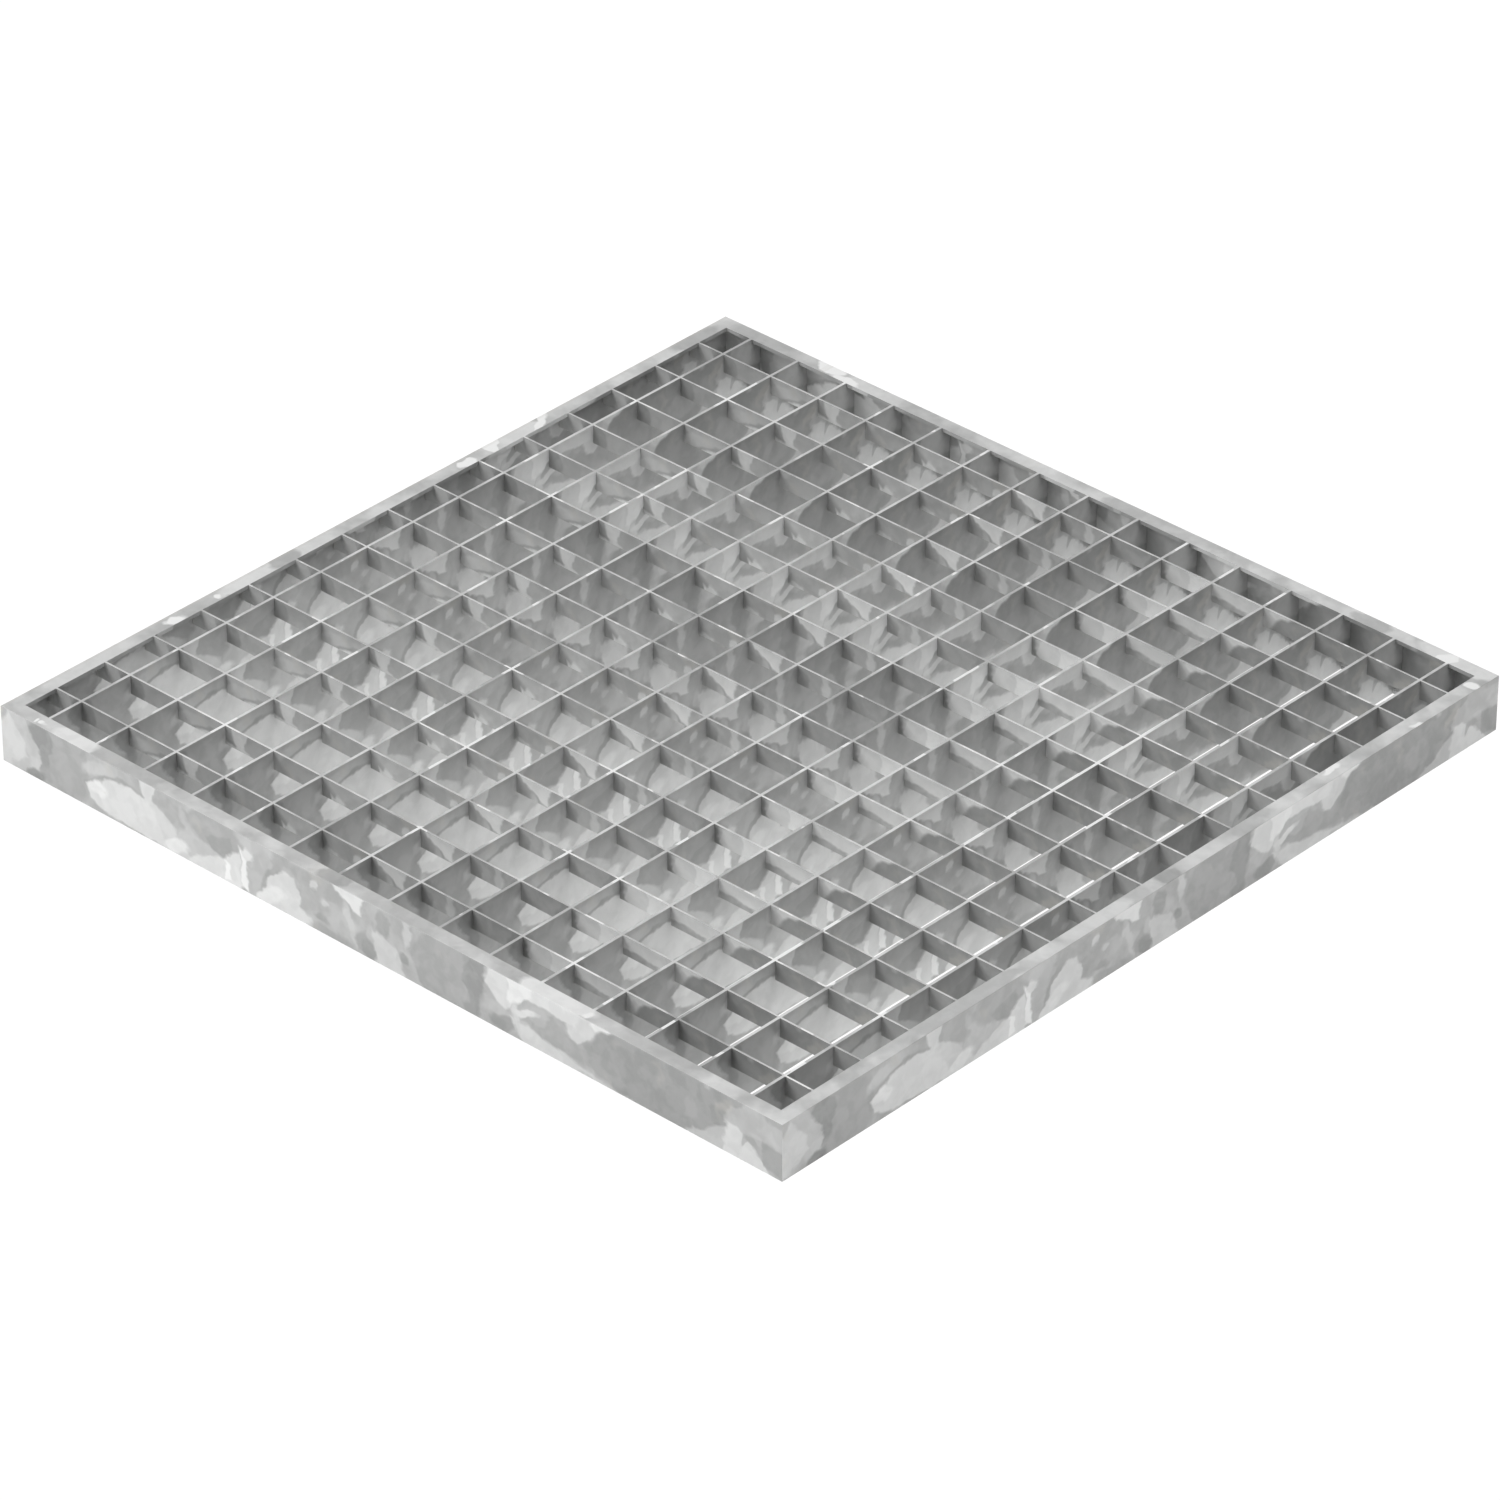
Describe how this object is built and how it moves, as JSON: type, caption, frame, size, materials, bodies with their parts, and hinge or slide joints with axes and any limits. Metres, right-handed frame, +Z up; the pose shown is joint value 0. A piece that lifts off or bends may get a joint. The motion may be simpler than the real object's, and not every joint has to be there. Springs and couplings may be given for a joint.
{
  "type": "steel grating panel",
  "caption": "Square flat panel of crossed galvanised steel bars closed by U-profile edging, laid in an angle frame to cover a light well, gutter or walkway opening.",
  "frame": {"origin": "middle of the underside", "axes": "+X across the bearing bars, +Y along the bearing bars, +Z up out of the walking face"},
  "size_m": [0.49, 0.49, 0.03],
  "materials": {
    "bars": "hot-dip galvanised, matt grey with patchy spangle",
    "edging": "hot-dip galvanised, matt grey with patchy spangle"
  },
  "bodies": {
    "root": {"bar_grid": "bars", "edge_bar_front": "edging", "edge_bar_back": "edging", "edge_bar_left": "edging", "edge_bar_right": "edging"}
  },
  "joints": []
}
